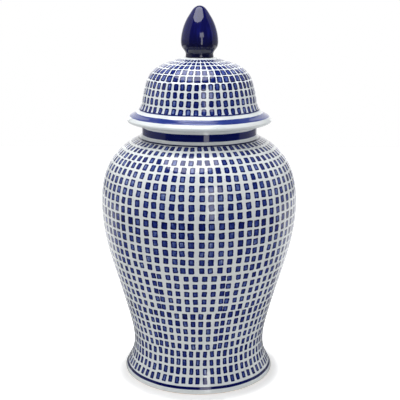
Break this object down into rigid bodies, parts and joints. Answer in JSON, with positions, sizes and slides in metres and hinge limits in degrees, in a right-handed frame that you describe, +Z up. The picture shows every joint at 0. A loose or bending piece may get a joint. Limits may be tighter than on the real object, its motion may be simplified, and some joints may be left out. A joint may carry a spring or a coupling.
{
  "type": "ginger jar",
  "caption": "Tall porcelain baluster jar with a flared foot, short neck and loose domed lid carrying a bud finial; painted all over in rows of small blue squares.",
  "frame": {"origin": "centre of the flat plane that the foot ring rests on", "axes": "+Z up the jar's axis of turning, towards the finial; +X and +Y are free, because the shape is the same all round"},
  "size_m": [0.2424, 0.2424, 0.457],
  "materials": {
    "jar_glaze": "glossy clear glaze over white porcelain painted with rows of small cobalt squares",
    "lid_glaze": "glossy clear glaze over white porcelain painted with rows of small cobalt squares and a blue band",
    "bare_porcelain": "unglazed, matt, fired to a warm buff",
    "finial_glaze": "glossy deep cobalt glaze"
  },
  "bodies": {
    "jar": {"jar_body": "jar_glaze"},
    "lid_assembly": {"lid": "lid_glaze", "locating_ring": "bare_porcelain", "finial": "finial_glaze"}
  },
  "joints": [
    {"name": "lid_lift", "type": "slide", "parent": "jar", "child": "lid_assembly", "axis": [0, 0, 1], "range_m": [0, 0.12]}
  ]
}
